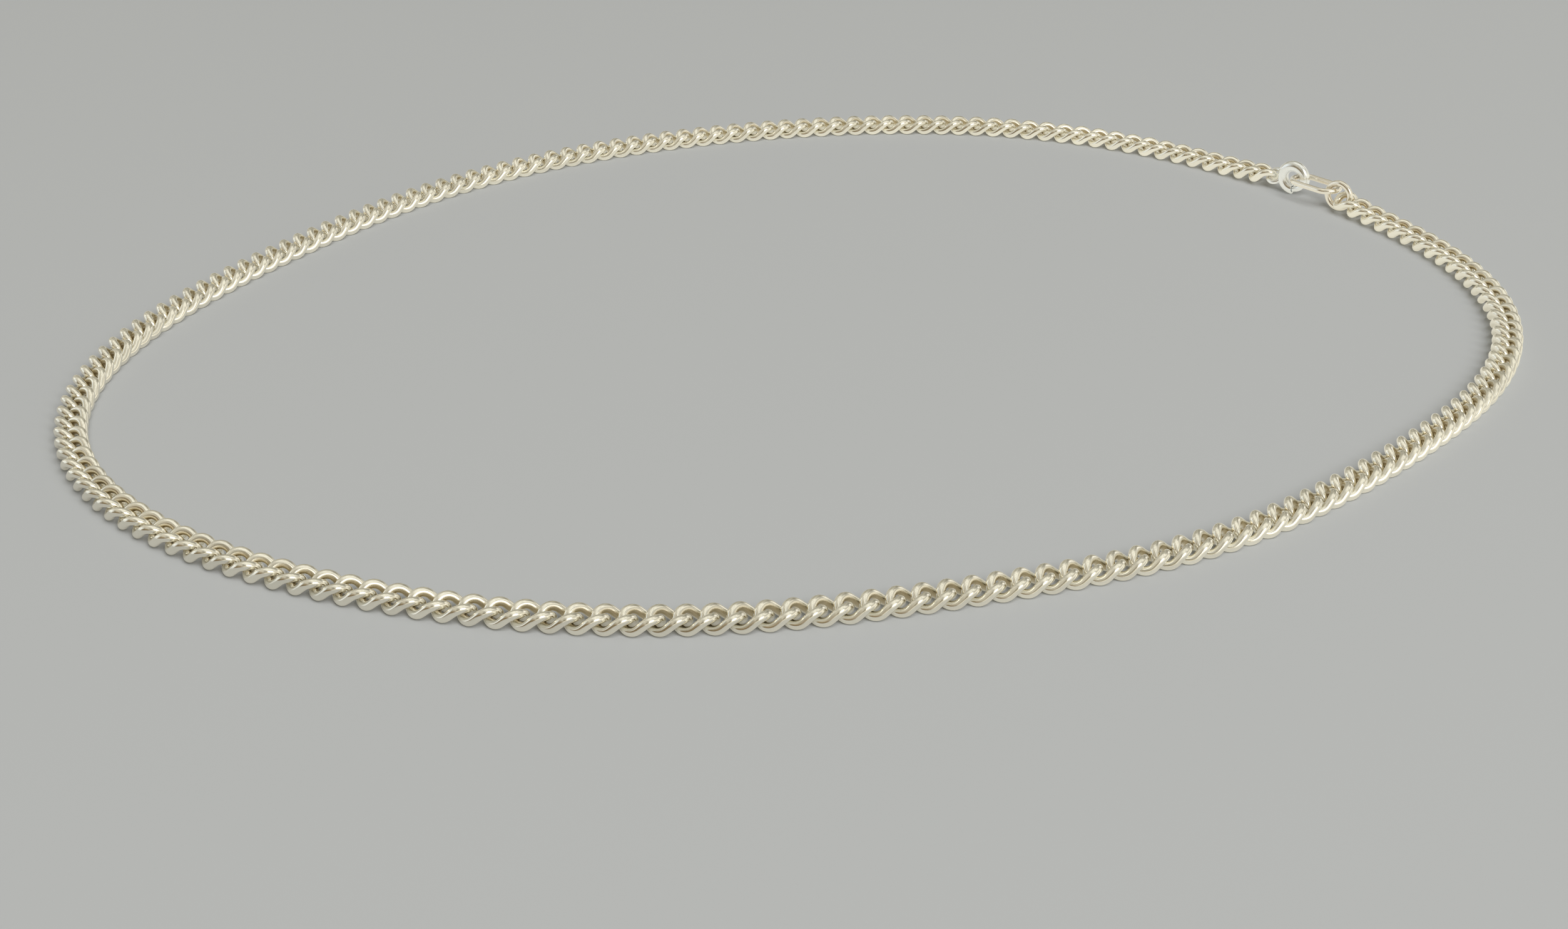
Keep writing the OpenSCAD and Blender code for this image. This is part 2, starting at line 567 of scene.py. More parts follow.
def rings_skin(name: str, rings: np.ndarray, loop: bool = False) -> bpy.types.Object:
    """Joins rings of points into one closed skin.

    Args:
        name: The object's name.
        rings: Points by ring, place in the ring and coordinate.
        loop: Whether the last ring joins the first; otherwise both are closed by a fan.

    Returns:
        The new object, with its faces turned outwards.
    """
    count, sides = rings.shape[:2]
    points = rings.reshape(-1, 3)
    faces = []
    for k in range(count if loop else count - 1):
        for j in range(sides):
            after = (j + 1) % sides
            below, above = k * sides, (k + 1) % count * sides
            faces.append((below + j, below + after, above + after, above + j))
    if not loop:
        points = np.vstack([points, rings[0].mean(axis=0), rings[-1].mean(axis=0)])
        for j in range(sides):
            after, last = (j + 1) % sides, (count - 1) * sides
            faces.append((j, len(points) - 2, after))
            faces.append((last + j, last + after, len(points) - 1))
    obj = mesh_object(name, points, faces)
    face_outwards(obj)
    return obj


def face_outwards(obj: bpy.types.Object) -> None:
    """Merges doubles and turns every face of a mesh outwards.

    Args:
        obj: The object that holds the mesh.
    """
    shell = bmesh.new()
    shell.from_mesh(obj.data)
    bmesh.ops.remove_doubles(shell, verts=shell.verts, dist=SAME_POINT * MM)
    bmesh.ops.recalc_face_normals(shell, faces=shell.faces)
    shell.to_mesh(obj.data)
    shell.free()


def flat_wire(line: np.ndarray, closed: bool, radii: np.ndarray, sides: int = 24) -> np.ndarray:
    """Rings of points of a round wire along a line that lies in the xy plane.

    Args:
        line: The wire's middle line.
        closed: Whether the line's end joins its start.
        radii: The wire's radius at each point.
        sides: Points in a ring.

    Returns:
        Points by ring, place in the ring and coordinate.
    """
    if closed:
        way = np.roll(line, -1, axis=0) - np.roll(line, 1, axis=0)
    else:
        way = np.gradient(line, axis=0)
    way /= np.linalg.norm(way, axis=1)[:, None]
    up = np.array([0.0, 0.0, 1.0])
    out = np.cross(way, up)
    angles = np.linspace(0.0, 2 * math.pi, sides, endpoint=False)[None, :, None]
    around = np.cos(angles) * out[:, None] + np.sin(angles) * up
    return line[:, None] + radii[:, None, None] * around


def arc_line(radius: float, start: float, end: float, steps: int) -> np.ndarray:
    """Points of an arc about the origin, from one angle to another in degrees."""
    angles = np.radians(np.linspace(start, end, steps + 1))
    return radius * np.stack([np.cos(angles), np.sin(angles), np.zeros_like(angles)], axis=1)


def circle_line(radius: float, steps: int) -> np.ndarray:
    """Points of a whole circle about the origin."""
    return arc_line(radius, 0, 360, steps)[:-1]


class Keep(Enum):
    """What is kept of two solids."""

    BOTH = "UNION"
    FIRST_WITHOUT_SECOND = "DIFFERENCE"


def combine(obj: bpy.types.Object, tool: bpy.types.Object, keep: Keep) -> bpy.types.Object:
    """Joins two closed solids, or takes one from the other.

    Args:
        obj: The solid that is changed.
        tool: The other solid, which is used up.
        keep: What is kept of them.

    Returns:
        The plain result, under the first solid's name.
    """
    modifier = obj.modifiers.new("combine", "BOOLEAN")
    modifier.operation = keep.value
    modifier.solver = "EXACT"
    modifier.object = tool
    result = settle(obj, obj.name)
    bpy.data.objects.remove(tool)
    return result


def mark_hollow(obj: bpy.types.Object, middle: np.ndarray, share: float,
                tone: float = 0.5) -> None:
    """Stores how hollow each place of a ring is, and a tone for the whole ring.

    The side that faces the ring's middle is the hollow one, where dirt gathers and where the
    silver paints shade.

    Args:
        obj: The finished ring.
        middle: The ring's middle, in millimetres.
        share: The most that the hollow side holds.
        tone: The ring's tone, from 0 for dark to 1 for bright.
    """
    count = len(obj.data.vertices)
    points, normals = np.zeros(count * 3), np.zeros(count * 3)
    obj.data.vertices.foreach_get("co", points)
    obj.data.vertices.foreach_get("normal", normals)
    # The hollow side gets tarnish and painted shade in the silver
    inward = middle * MM - points.reshape(-1, 3)
    inward /= np.linalg.norm(inward, axis=1)[:, None]
    hollow = np.clip((inward * normals.reshape(-1, 3)).sum(axis=1), 0.0, 1.0) * share
    for name, values in (("hollow", hollow), ("tone", np.full(count, tone))):
        layer = obj.data.attributes.new(name, "FLOAT", "POINT")
        layer.data.foreach_set("value", values.astype(np.float32))


def soften(obj: bpy.types.Object, sharp_over: float = 40.0) -> None:
    """Shades a piece smoothly, apart from its sharp edges.

    Args:
        obj: The piece.
        sharp_over: The turn between two faces past which their edge is sharp, in degrees.
    """
    obj.data.shade_smooth()
    shell = bmesh.new()
    shell.from_mesh(obj.data)
    for edge in shell.edges:
        edge.smooth = edge.calc_face_angle(0.0) < math.radians(sharp_over)
    shell.to_mesh(obj.data)
    shell.free()


class LinkTree:
    """The geometry nodes of the chain.

    They bend one link from its middle line and set copies of it along a route.
    """

    SIZES = {
        "Link count": "NodeSocketInt",
        "Middle line": "NodeSocketObject",
        "Wire radius": "NodeSocketFloat",
        "Wire sides": "NodeSocketInt",
        "Tone seed": "NodeSocketInt",
        "Metal": "NodeSocketMaterial",
    }

    def __init__(self) -> None:
        """Builds the tree once, for both halves of the chain."""
        self.tree = bpy.data.node_groups.new("curb_links", "GeometryNodeTree")
        face = self.tree.interface
        face.new_socket("Geometry", in_out="OUTPUT", socket_type="NodeSocketGeometry")
        face.new_socket("Geometry", in_out="INPUT", socket_type="NodeSocketGeometry")
        self.keys = {name: face.new_socket(name, in_out="INPUT", socket_type=kind).identifier
                     for name, kind in self.SIZES.items()}
        given = self.tree.nodes.new("NodeGroupInput")
        links = self._along_route(given, self._one_link(given))
        solid = self._add("GeometryNodeRealizeInstances", {"Geometry": links})
        silver = self._add("GeometryNodeSetMaterial",
                           {"Geometry": solid.outputs[0], "Material": given.outputs["Metal"]})
        self._add("NodeGroupOutput", {"Geometry": silver.outputs[0]})

    def _add(self, kind: str, inputs: dict, **settings: object) -> bpy.types.Node:
        """Adds a node to this tree."""
        return connect(self.tree, kind, inputs, **settings)

    def _store(self, geometry: bpy.types.NodeSocket, name: str, value: bpy.types.NodeSocket,
               kind: str, domain: str) -> bpy.types.NodeSocket:
        """Stores a value on a geometry.

        Args:
            geometry: The geometry.
            name: The value's name.
            value: The value.
            kind: Its type.
            domain: What carries it.

        Returns:
            The geometry that carries the value.
        """
        marked = self._add("GeometryNodeStoreNamedAttribute",
                           {"Geometry": geometry, "Name": name, "Value": value},
                           data_type=kind, domain=domain)
        return marked.outputs[0]

    def _one_link(self, given: bpy.types.Node) -> bpy.types.NodeSocket:
        """Bends the wire of one link and marks its hollow sides, which get tarnish and painted
        shade.

        Args:
            given: The node that hands in the sizes.

        Returns:
            The link.
        """
        source = self._add("GeometryNodeObjectInfo", {"Object": given.outputs["Middle line"]})
        line = self._add("GeometryNodeMeshToCurve", {"Mesh": source.outputs["Geometry"]})
        section = self._add("GeometryNodeCurvePrimitiveCircle", {
            "Resolution": given.outputs["Wire sides"], "Radius": given.outputs["Wire radius"],
        })
        wire = self._add("GeometryNodeCurveToMesh",
                         {"Curve": line.outputs[0], "Profile Curve": section.outputs[0]})
        smooth = self._add("GeometryNodeSetShadeSmooth", {"Geometry": wire.outputs[0]})
        place = self._add("GeometryNodeInputPosition", {})
        normal = self._add("GeometryNodeInputNormal", {})
        # How much each place faces the link's middle, where the silver paints tarnish and shade
        outward = self._add("ShaderNodeVectorMath", {0: place.outputs[0]}, operation="NORMALIZE")
        facing = self._add("ShaderNodeVectorMath", {0: normal.outputs[0], 1: outward.outputs[0]},
                           operation="DOT_PRODUCT")
        hollow = calculate(self.tree, "MULTIPLY", facing.outputs["Value"], -1.0, clamp=True)
        return self._store(smooth.outputs[0], "hollow", hollow, "FLOAT", "POINT")

    def _along_route(self, given: bpy.types.Node,
                     link: bpy.types.NodeSocket) -> bpy.types.NodeSocket:
        """Sets evenly spaced copies of a link along the route, each with its own tone.

        Args:
            given: The node that hands in the route and the sizes.
            link: The link.

        Returns:
            The run of links.
        """
        line = self._add("GeometryNodeMeshToCurve", {"Mesh": given.outputs["Geometry"]})
        tangent = self._add("GeometryNodeInputTangent", {})
        known = self._store(line.outputs[0], "way", tangent.outputs[0], "FLOAT_VECTOR", "POINT")
        stations = self._add("GeometryNodeResampleCurve",
                             {"Curve": known, "Count": given.outputs["Link count"]}, mode="COUNT")
        way = self._add("GeometryNodeInputNamedAttribute", {"Name": "way"},
                        data_type="FLOAT_VECTOR")
        heading = self._add("FunctionNodeAxesToRotation", {
            "Primary Axis": way.outputs["Attribute"], "Secondary Axis": (0.0, 0.0, 1.0),
        }, primary_axis="X", secondary_axis="Z")
        copies = self._add("GeometryNodeInstanceOnPoints", {
            "Points": stations.outputs[0], "Instance": link, "Rotation": heading.outputs[0],
        })
        tone = self._add("FunctionNodeRandomValue", {"Seed": given.outputs["Tone seed"]},
                         data_type="FLOAT")
        return self._store(copies.outputs[0], "tone", tone.outputs["Value"], "FLOAT", "INSTANCE")


@dataclass(frozen=True)
class CurbChain:
    """The chain's two halves, each a run of links from the clasp round to the left end."""

    route: Route
    clasp: ClaspLayout
    link: LinkShape
    count: int = LINK_COUNT
    route_step: float = 0.25
    tone_seed: int = 11

    def links_in(self, strand: Strand) -> int:
        """Number of links in a half."""
        return math.ceil(self.count / 2) if strand is Strand.LEFT else self.count // 2

    def starts_at(self, strand: Strand) -> float:
        """Place of the link nearest the clasp."""
        left_at = self.clasp.eye_at + self.link.reach
        return left_at if strand is Strand.LEFT else self.clasp.right_at

    def middle_line(self, strand: Strand) -> np.ndarray:
        """The line through the middles of a half's links, lifted where it rises to the clasp.

        Args:
            strand: The half.

        Returns:
            The line's points, from the clasp on.
        """
        length = (self.links_in(strand) - 1) * self.link.pitch
        steps = round(length / self.route_step)
        places = self.route.walk(self.starts_at(strand), strand.way, length / steps, steps)
        runs = np.linspace(0.0, length, steps + 1)
        heights = np.array([self.link.lie + self.clasp.rise(run) for run in runs])
        return np.column_stack([self.route.points(places), heights])

    def build(self, tree: LinkTree, metal: bpy.types.Material) -> None:
        """Makes both halves and puts them in place of their solids.

        Args:
            tree: The geometry nodes that make a run of links.
            metal: The links' finish.
        """
        wire = self.link.centreline()
        steps = len(wire)
        link_line = mesh_object("link_line", wire,
                                edges=[(k, (k + 1) % steps) for k in range(steps)])
        for strand in Strand:
            line = self.middle_line(strand)
            route = mesh_object("route", line, edges=[(k, k + 1) for k in range(len(line) - 1)])
            modifier = route.modifiers.new("links", "NODES")
            modifier.node_group = tree.tree
            modifier[tree.keys["Link count"]] = self.links_in(strand)
            modifier[tree.keys["Middle line"]] = link_line
            modifier[tree.keys["Wire radius"]] = self.link.wire / 2 * MM
            modifier[tree.keys["Wire sides"]] = self.link.wire_sides
            modifier[tree.keys["Tone seed"]] = self.tone_seed + strand.way
            modifier[tree.keys["Metal"]] = metal
            links = settle(route, "links_" + strand.name.lower())
            face_outwards(links)
            hand_over(links, metal, strand.node, Body.NECKLACE)
        bpy.data.objects.remove(link_line)


@dataclass(frozen=True)
class BoltRing:
    """The hollow ring with its mouth and slot, its soldered eye, and the slider with its knob.

    Angles are in degrees about the ring's middle. The tube's rows are its rings of points.
    """

    route: Route
    clasp: ClaspLayout
    bore: float = 1.12
    mouth: tuple[float, float] = (-90.0, -20.0)
    edge: float = 0.035
    edge_steps: int = 2
    edge_over: float = 50.0
    sides: int = 40
    whole_rows: int = 47
    slot_rows: int = 20
    slot_end_rows: int = 7
    slot_width: float = 0.78
    slot_slack: float = 10.0
    eye_steps: int = 64
    core_shy: float = 10.0
    core_steps: int = 72
    slider: float = 0.88
    slider_run: tuple[float, float] = (-115.0, -12.0)
    slider_travel: float = 78.0
    slider_steps: int = 48
    nose: float = 0.2
    nose_share: float = 0.9
    knob_at: float = -105.0
    knob_sides: int = 32
    knob_profile: tuple[tuple[float, float], ...] = (
        (0.25, 0.0), (0.25, 1.14), (0.29, 1.21), (0.4, 1.25), (0.445, 1.3), (0.45, 1.4),
        (0.42, 1.5), (0.33, 1.57), (0.17, 1.6),
    )
    hollow_share: float = 0.5

    @property
    def stand(self) -> np.ndarray:
        """The ring's own frame: x along the chain, y up, z towards the front."""
        level = self.route.station(0.0, self.clasp.bolt_z) @ turn("Z", self.clasp.ring_turn)
        return level @ turn("X", 90)

    @property
    def skin(self) -> float:
        """Radius of the middle of the tube's wall."""
        return (self.clasp.bolt_tube + self.bore) / 4

    @property
    def slot(self) -> tuple[float, float]:
        """Angles at the ends of the slot, which lets the knob make its whole way."""
        knob = self.knob_at + 360
        return knob - self.slider_travel - self.slot_slack, knob + self.slot_slack

    @property
    def slot_reach(self) -> float:
        """Half width of the slot, as an angle of the ring."""
        return math.degrees(self.slot_width / 2 / self.clasp.bolt_radius)

    def rows(self) -> np.ndarray:
        """Angles of the tube's rows, which stand closer at the slot's round ends.

        Returns:
            The angles, from one side of the mouth round to the other.
        """
        bend = np.cos(np.radians(np.linspace(0, 90, self.slot_end_rows)))
        slot_in = self.slot[0] + self.slot_reach * (1 - bend)
        slot_out = self.slot[1] - self.slot_reach * (1 - bend[::-1])
        whole = np.linspace(self.mouth[1], self.slot[0], self.whole_rows)[:-1]
        slotted = np.linspace(slot_in[-1], slot_out[0], self.slot_rows)[1:-1]
        return np.concatenate([whole, slot_in, slotted, slot_out, [self.mouth[0] + 360]])

    def row(self, angle: float) -> np.ndarray:
        """One row of points in the middle of the tube's wall, open where the slot is.

        Args:
            angle: The row's place round the ring.

        Returns:
            The points, in the ring's own frame.
        """
        from_end = min(angle - self.slot[0], self.slot[1] - angle) / self.slot_reach
        gap = 0.0
        if from_end > 0:
            width = self.slot_width * math.sqrt(1 - max(0.0, 1 - from_end) ** 2)
            gap = math.asin(width / 2 / self.skin)
        about_tube = np.linspace(gap, 2 * math.pi - gap, self.sides + 1) - math.pi / 2
        out = self.clasp.bolt_radius + self.skin * np.cos(about_tube)
        along = math.radians(angle)
        return np.stack([out * math.cos(along), out * math.sin(along),
                         self.skin * np.sin(about_tube)], axis=1)

    def tube(self) -> bpy.types.Object:
        """The hollow tube, as the skin in the middle of its wall, then thickened.

        Returns:
            The tube with its mouth and slot.
        """
        rows = [self.row(angle) for angle in self.rows()]
        wide = self.sides + 1
        faces = [(k * wide + j, k * wide + j + 1, (k + 1) * wide + j + 1, (k + 1) * wide + j)
                 for k in range(len(rows) - 1) for j in range(self.sides)]
        tube = mesh_object("bolt_ring_body", placed(np.vstack(rows), self.stand), faces)
        face_outwards(tube)
        wall = tube.modifiers.new("wall", "SOLIDIFY")
        wall.thickness = (self.clasp.bolt_tube - self.bore) / 2 * MM
        wall.offset = 0.0
        wall.use_even_offset = True
        rim = tube.modifiers.new("rim", "BEVEL")
        rim.width = self.edge * MM
        rim.segments = self.edge_steps
        rim.limit_method = "ANGLE"
        rim.angle_limit = math.radians(self.edge_over)
        return settle(tube, "bolt_ring_body")

    def eye(self) -> bpy.types.Object:
        """The soldered eye, cut back to the middle of the tube's wall.

        Returns:
            The eye, which reaches into the wall but not into the bore.
        """
        clasp = self.clasp
        line = circle_line(clasp.eye_radius, self.eye_steps)
        rings = flat_wire(line, True, np.full(len(line), clasp.eye_wire / 2))
        drop = clasp.bolt_radius * math.sin(math.radians(clasp.eye_drop))
        at = self.route.station(0.0, clasp.bolt_z) @ shift(-clasp.eye_at, 0, -drop)
        eye = rings_skin("eye", placed(rings, at @ turn("X", clasp.eye_tilt)), loop=True)
        start, end = self.mouth[1] + self.core_shy, self.mouth[0] + 360 - self.core_shy
        line = arc_line(clasp.bolt_radius, start, end, self.core_steps)
        rings = flat_wire(line, False, np.full(len(line), self.skin))
        core = rings_skin("core", placed(rings, self.stand))
        return combine(eye, core, Keep.FIRST_WITHOUT_SECOND)

    def rod(self) -> bpy.types.Object:
        """The slider's bent rod, round at both ends.

        Returns:
            The rod where it closes the mouth.
        """
        start, end = self.slider_run
        line = arc_line(self.clasp.bolt_radius, start, end, self.slider_steps)
        from_start = np.linspace(0, end - start, self.slider_steps + 1)
        from_tip = np.radians(np.minimum(from_start, from_start[::-1])) * self.clasp.bolt_radius
        nearness = np.clip(1 - from_tip / self.nose, 0, 1)
        drawn_in = self.nose_share * self.nose * (1 - np.sqrt(1 - nearness ** 2))
        rings = flat_wire(line, False, self.slider / 2 - drawn_in)
        return rings_skin("slider_rod", placed(rings, self.stand))

    def knob(self) -> bpy.types.Object:
        """The turned knob that draws the slider back, on the side away from the front.

        Returns:
            The knob, from the middle of the rod outwards.
        """
        at = self.stand @ turn("Z", self.knob_at) @ shift(self.clasp.bolt_radius) @ turn("X", 180)
        circle = circle_line(1.0, self.knob_sides)
        rings = np.array([circle * radius + [0.0, 0.0, height]
                          for radius, height in self.knob_profile])
        return rings_skin("knob", placed(rings, at))

    def build(self, metal: bpy.types.Material) -> None:
        """Makes the ring and its slider and puts them in place of their solids.

        Args:
            metal: Their finish.
        """
        ring = combine(self.tube(), self.eye(), Keep.BOTH)
        ring.name = "bolt_ring_shell"
        slider = combine(self.rod(), self.knob(), Keep.BOTH)
        for piece, node, body in (
            (ring, "bolt_ring", Body.NECKLACE),
            (slider, "bolt_slider", Body.SLIDER),
        ):
            soften(piece)
            mark_hollow(piece, self.stand[:3, 3], self.hollow_share)
            hand_over(piece, metal, node, body)


@dataclass(frozen=True)
class Rings:
    """The flat oval catch ring and the round end ring, each with its soldered joint."""

    route: Route
    clasp: ClaspLayout
    joint_rise: float = 0.018
    joint_run: float = 0.3
    catch_joint: float = 0.4
    catch_end_steps: int = 24
    catch_side_steps: int = 16
    end_ring_steps: int = 72
    hollow_share: float = 0.8

    def _ring(self, name: str, line: np.ndarray, wire: float, joint: Sequence[float],
              at: np.ndarray) -> bpy.types.Object:
        """Makes a ring of wire that swells a little at its joint.

        Args:
            name: The piece's name.
            line: The wire's closed middle line, flat about the origin.
            wire: The wire's thickness.
            joint: The joint's place on the line.
            at: The matrix of the ring's place.

        Returns:
            The ring in its place.
        """
        away = np.linalg.norm(line - np.array(joint), axis=1) / self.joint_run
        radii = wire / 2 + self.joint_rise * np.exp(-away ** 2)
        ring = rings_skin(name, placed(flat_wire(line, True, radii), at), loop=True)
        mark_hollow(ring, at[:3, 3], self.hollow_share)
        ring.data.shade_smooth()
        return ring

    def catch_ring(self) -> bpy.types.Object:
        """The oval ring that the bolt ring closes on.

        Returns:
            The ring, lying nearly flat.
        """
        clasp = self.clasp
        across = clasp.catch_width / 2
        half = (clasp.catch_length - clasp.catch_width) / 2
        round_end = arc_line(across, -90, 90, self.catch_end_steps) + [half, 0, 0]
        side = np.linspace(half, -half, self.catch_side_steps + 1)[1:-1, None] * [1, 0, 0]
        line = np.vstack([round_end, side + [0, across, 0]])
        line = np.vstack([line, line * [-1, -1, 1]])
        at = self.route.station(clasp.catch_at, clasp.catch_z) @ turn("Y", clasp.catch_pitch)
        joint = (half * self.catch_joint, across, 0.0)
        return self._ring("catch_ring_wire", line, clasp.catch_wire, joint, at)

    def end_ring(self) -> bpy.types.Object:
        """The ring between the catch ring and the right half of the chain.

        Returns:
            The ring, standing on the floor.
        """
        clasp = self.clasp
        line = circle_line(clasp.end_radius, self.end_ring_steps)
        at = self.route.station(clasp.end_at, clasp.end_radius + clasp.end_wire / 2)
        at = at @ turn("Z", clasp.ring_turn) @ turn("X", 90)
        joint = (0.0, clasp.end_radius, 0.0)
        return self._ring("end_ring_wire", line, clasp.end_wire, joint, at)

    def build(self, metal: bpy.types.Material) -> None:
        """Makes both rings and puts them in place of their solids."""
        hand_over(self.catch_ring(), metal, "catch_ring", Body.NECKLACE)
        hand_over(self.end_ring(), metal, "end_ring", Body.NECKLACE)


@dataclass(frozen=True)
class Patch:
    """A soft round patch of light or dark in the room round the necklace.

    Its place is an azimuth, clockwise from behind the loop, and an elevation; width is its radius.
    All are in degrees.
    """

    azimuth: float
    elevation: float
    width: float
    edge: float
    colour: tuple[float, float, float]

    @property
    def way(self) -> tuple[float, float, float]:
        """The direction of the patch's middle.

        Returns:
            The direction's x, y and z, with a length of one.
        """
        azimuth, elevation = math.radians(self.azimuth), math.radians(self.elevation)
        level = math.cos(elevation)
        return level * math.sin(azimuth), level * math.cos(azimuth), math.sin(elevation)

    @property
    def limits(self) -> tuple[float, float]:
        """Cosines of the angles from the middle where the patch ends and where it is whole."""
        outer, inner = self.width + self.edge, self.width - self.edge
        return math.cos(math.radians(outer)), math.cos(math.radians(inner))


@dataclass(frozen=True)
class Studio:
    """A pale floor, a softbox on the right in front, the room, and the photo's camera.

    The silver shows the room's patches. It also sees the floor glow warmly, most towards the
    back right.
    """

    focal: float = 53.41
    sensor: float = 36.0
    camera_at: tuple[float, float, float] = (-5.22, -300.78, 134.72)
    pitch: float = 27.55
    roll: float = 0.65
    nearest: float = 10.0
    floor_radius: float = 4000.0
    floor_sides: int = 64
    floor_tint: tuple[float, float, float] = (0.455, 0.474, 0.496)
    floor_roughness: float = 0.75
    floor_glow: tuple[float, float, float] = (0.75, 0.71, 0.585)
    glow_share: float = 0.45
    glow_way: tuple[float, float] = (0.64, 0.77)
    glow_reach: float = 110.0
    glow_range: tuple[float, float] = (0.6, 1.75)
    softbox: float = 2400.0
    softbox_at: tuple[float, float, float] = (1000.0, -1750.0, 2250.0)
    softbox_power: float = 91.0
    softbox_tint: tuple[float, float, float] = (1.0, 0.985, 0.95)
    walls: tuple[float, float, float] = (0.65, 0.615, 0.515)
    clutter_scale: float = 3.2
    clutter_detail: float = 1.0
    clutter_range: tuple[float, float] = (0.38, 0.62)
    unevenness: tuple[float, float] = (0.72, 1.28)
    floor_fill: float = 0.5
    backdrop: tuple[float, float, float] = (0.6, 0.6, 0.6)
    patches: tuple[Patch, ...] = (
        Patch(5, 14, 46, 20, (0.40, 0.378, 0.305)),
        Patch(100, 10, 26, 14, (0.78, 0.735, 0.61)),
        Patch(180, 78, 38, 16, (0.86, 0.83, 0.72)),
        Patch(-125, 46, 24, 16, (0.46, 0.425, 0.34)),
        Patch(-85, 10, 22, 12, (0.86, 0.88, 0.845)),
        Patch(-135, 0, 30, 14, (0.24, 0.18, 0.10)),
        Patch(180, 30, 14, 8, (0.32, 0.285, 0.20)),
        Patch(146, 31, 17, 5, (1.8, 1.765, 1.64)),
        Patch(52, 18, 13, 6, (1.0, 0.96, 0.85)),
    )

    def build(self) -> None:
        """Sets up the camera, the floor and the light."""
        bpy.context.scene.view_settings.view_transform = "Standard"
        self._camera()
        self._floor()
        self._light()
        self._room()

    def _camera(self) -> None:
        """The camera of the photo: low in front of the loop, looking down on it."""
        lens = bpy.data.cameras.new("camera")
        lens.lens = self.focal
        lens.sensor_width = self.sensor
        lens.clip_start = self.nearest * MM
        lens.clip_end = 2 * self.floor_radius * MM
        camera = bpy.data.objects.new("camera", lens)
        bpy.context.scene.collection.objects.link(camera)
        at = np.array(self.camera_at) * MM
        way = turn("X", 90 - self.pitch) @ turn("Z", self.roll)
        camera.matrix_world = Matrix(shift(*at) @ way)
        bpy.context.scene.camera = camera

    def _floor(self) -> None:
        """A wide pale floor, which isn't part of the necklace."""
        rim = circle_line(self.floor_radius, self.floor_sides)
        floor = mesh_object("floor", rim, [tuple(range(self.floor_sides))])
        matt = bpy.data.materials.new("pale_floor")
        matt.use_nodes = True
        shader = matt.node_tree.nodes["Principled BSDF"]
        shader.inputs["Base Color"].default_value = (*self.floor_tint, 1.0)
        shader.inputs["Roughness"].default_value = self.floor_roughness
        self._warm_in_silver(matt.node_tree, shader)
        floor.data.materials.append(matt)

    def _warm_in_silver(self, tree: bpy.types.NodeTree, shader: bpy.types.Node) -> None:
        """Lets the silver see the floor warmer and less shaded than the camera does.

        Args:
            tree: The floor's material.
            shader: The floor as the camera sees it.
        """
        place = connect(tree, "ShaderNodeTexCoord", {}).outputs["Object"]
        along = connect(tree, "ShaderNodeVectorMath", {0: place, 1: (*self.glow_way, 0.0)},
                        operation="DOT_PRODUCT")
        strength = connect(tree, "ShaderNodeMapRange", {
            "Value": along.outputs["Value"],
            "From Min": -self.glow_reach * MM, "From Max": self.glow_reach * MM,
            "To Min": self.glow_range[0], "To Max": self.glow_range[1],
        })
        glow = connect(tree, "ShaderNodeEmission",
                       {"Color": (*self.floor_glow, 1.0), "Strength": strength.outputs["Result"]})
        blend = connect(tree, "ShaderNodeMixShader",
                        {0: self.glow_share, 1: shader.outputs[0], 2: glow.outputs[0]})
        ray = connect(tree, "ShaderNodeLightPath", {})
        seen = connect(tree, "ShaderNodeMixShader", {
            0: ray.outputs["Is Glossy Ray"], 1: shader.outputs[0], 2: blend.outputs[0],
        })
        tree.links.new(seen.outputs[0], tree.nodes["Material Output"].inputs["Surface"])

    def _light(self) -> None:
        """One large soft light, high on the right in front of the loop."""
        lamp = bpy.data.lights.new("softbox", "AREA")
        lamp.size = self.softbox * MM
        lamp.energy = self.softbox_power
        lamp.color = self.softbox_tint
        light = bpy.data.objects.new("softbox", lamp)
        bpy.context.scene.collection.objects.link(light)
        light.visible_glossy = False
        at = Vector(self.softbox_at) * MM
        way = at.to_track_quat("Z", "Y").to_matrix().to_4x4()
        light.matrix_world = Matrix.Translation(at) @ way

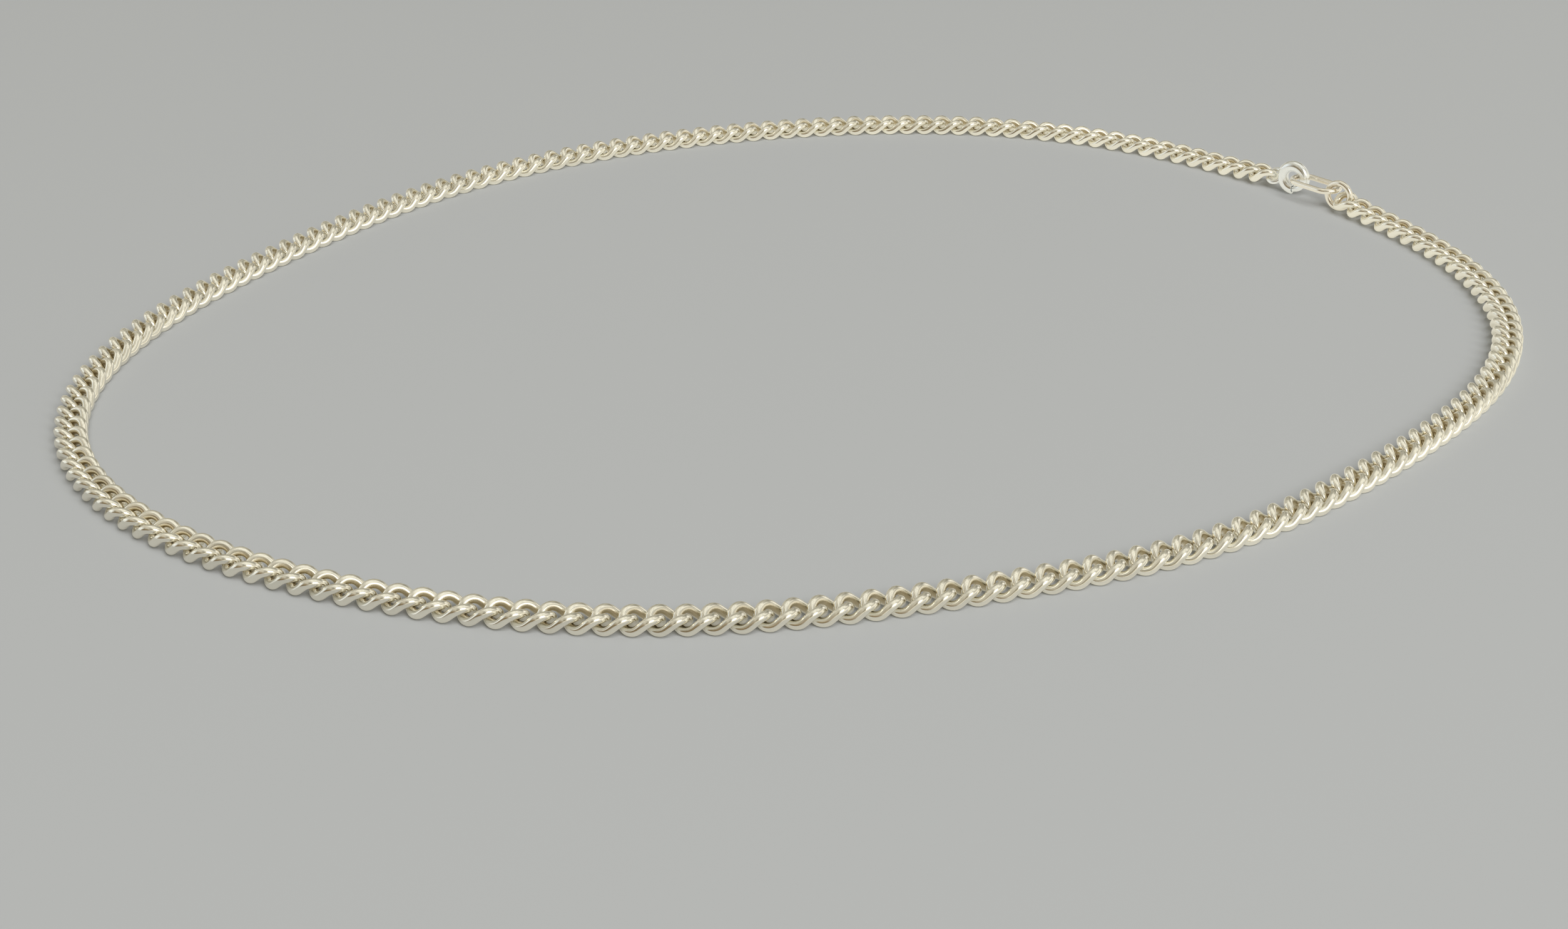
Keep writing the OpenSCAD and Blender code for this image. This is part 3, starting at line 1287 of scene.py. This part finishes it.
    def _room(self) -> None:
        """The room all round: beige and uneven to the silver, plain to the camera."""
        world = bpy.data.worlds.new("room")
        world.use_nodes = True
        tree = world.node_tree
        tree.nodes.clear()
        way = connect(tree, "ShaderNodeTexCoord", {}).outputs["Generated"]
        ray = connect(tree, "ShaderNodeLightPath", {})
        fill = connect(tree, "ShaderNodeMapRange", {
            "Value": ray.outputs["Is Diffuse Ray"], "To Min": 1.0, "To Max": self.floor_fill,
        })
        strength = calculate(tree, "MULTIPLY", self._uneven(tree, way), fill.outputs["Result"])
        room = connect(tree, "ShaderNodeBackground",
                       {"Color": self._walls(tree, way), "Strength": strength})
        plain = connect(tree, "ShaderNodeBackground",
                        {"Color": (*self.backdrop, 1.0), "Strength": 1.0})
        both = connect(tree, "ShaderNodeMixShader",
                       {0: ray.outputs["Is Camera Ray"], 1: room.outputs[0], 2: plain.outputs[0]})
        connect(tree, "ShaderNodeOutputWorld", {"Surface": both.outputs[0]})
        bpy.context.scene.world = world

    def _walls(self, tree: bpy.types.NodeTree,
               way: bpy.types.NodeSocket) -> bpy.types.NodeSocket:
        """The walls' colour, patch over patch.

        Args:
            tree: The world's nodes.
            way: The direction that is looked in.

        Returns:
            The colour.
        """
        colour = connect(tree, "ShaderNodeRGB", {}).outputs[0]
        colour.default_value = (*self.walls, 1.0)
        for patch in self.patches:
            near = connect(tree, "ShaderNodeVectorMath", {0: way, 1: patch.way},
                           operation="DOT_PRODUCT")
            low, high = patch.limits
            share = connect(tree, "ShaderNodeMapRange", {
                "Value": near.outputs["Value"], "From Min": low, "From Max": high,
            }, interpolation_type="SMOOTHSTEP")
            mixed = connect(tree, "ShaderNodeMix", {
                "Factor": share.outputs["Result"], "A": colour, "B": (*patch.colour, 1.0),
            }, data_type="RGBA")
            colour = mixed.outputs["Result"]
        return colour

    def _uneven(self, tree: bpy.types.NodeTree,
                way: bpy.types.NodeSocket) -> bpy.types.NodeSocket:
        """How bright the walls are, as if they were cluttered.

        Args:
            tree: The world's nodes.
            way: The direction that is looked in.

        Returns:
            The brightness, about one.
        """
        clutter = connect(tree, "ShaderNodeTexNoise", {
            "Vector": way, "Scale": self.clutter_scale, "Detail": self.clutter_detail,
        })
        uneven = connect(tree, "ShaderNodeMapRange", {
            "Value": clutter.outputs["Fac"],
            "From Min": self.clutter_range[0], "From Max": self.clutter_range[1],
            "To Min": self.unevenness[0], "To Max": self.unevenness[1],
        })
        return uneven.outputs["Result"]


def main() -> None:
    """Builds the studio and the necklace, piece by piece."""
    logging.basicConfig(level=logging.INFO, format="%(name)s %(message)s")
    Studio().build()
    clasp, link = ClaspLayout(), LinkShape()
    loop = (LINK_COUNT - 1) * link.pitch + clasp.eye_at + link.reach - clasp.right_at
    route = Route(loop)
    CurbChain(route, clasp, link).build(LinkTree(), CHAIN_SILVER.material())
    BoltRing(route, clasp).build(CLASP_SILVER.material())
    Rings(route, clasp).build(RING_SILVER.material())


if __name__ == "__main__":
    main()
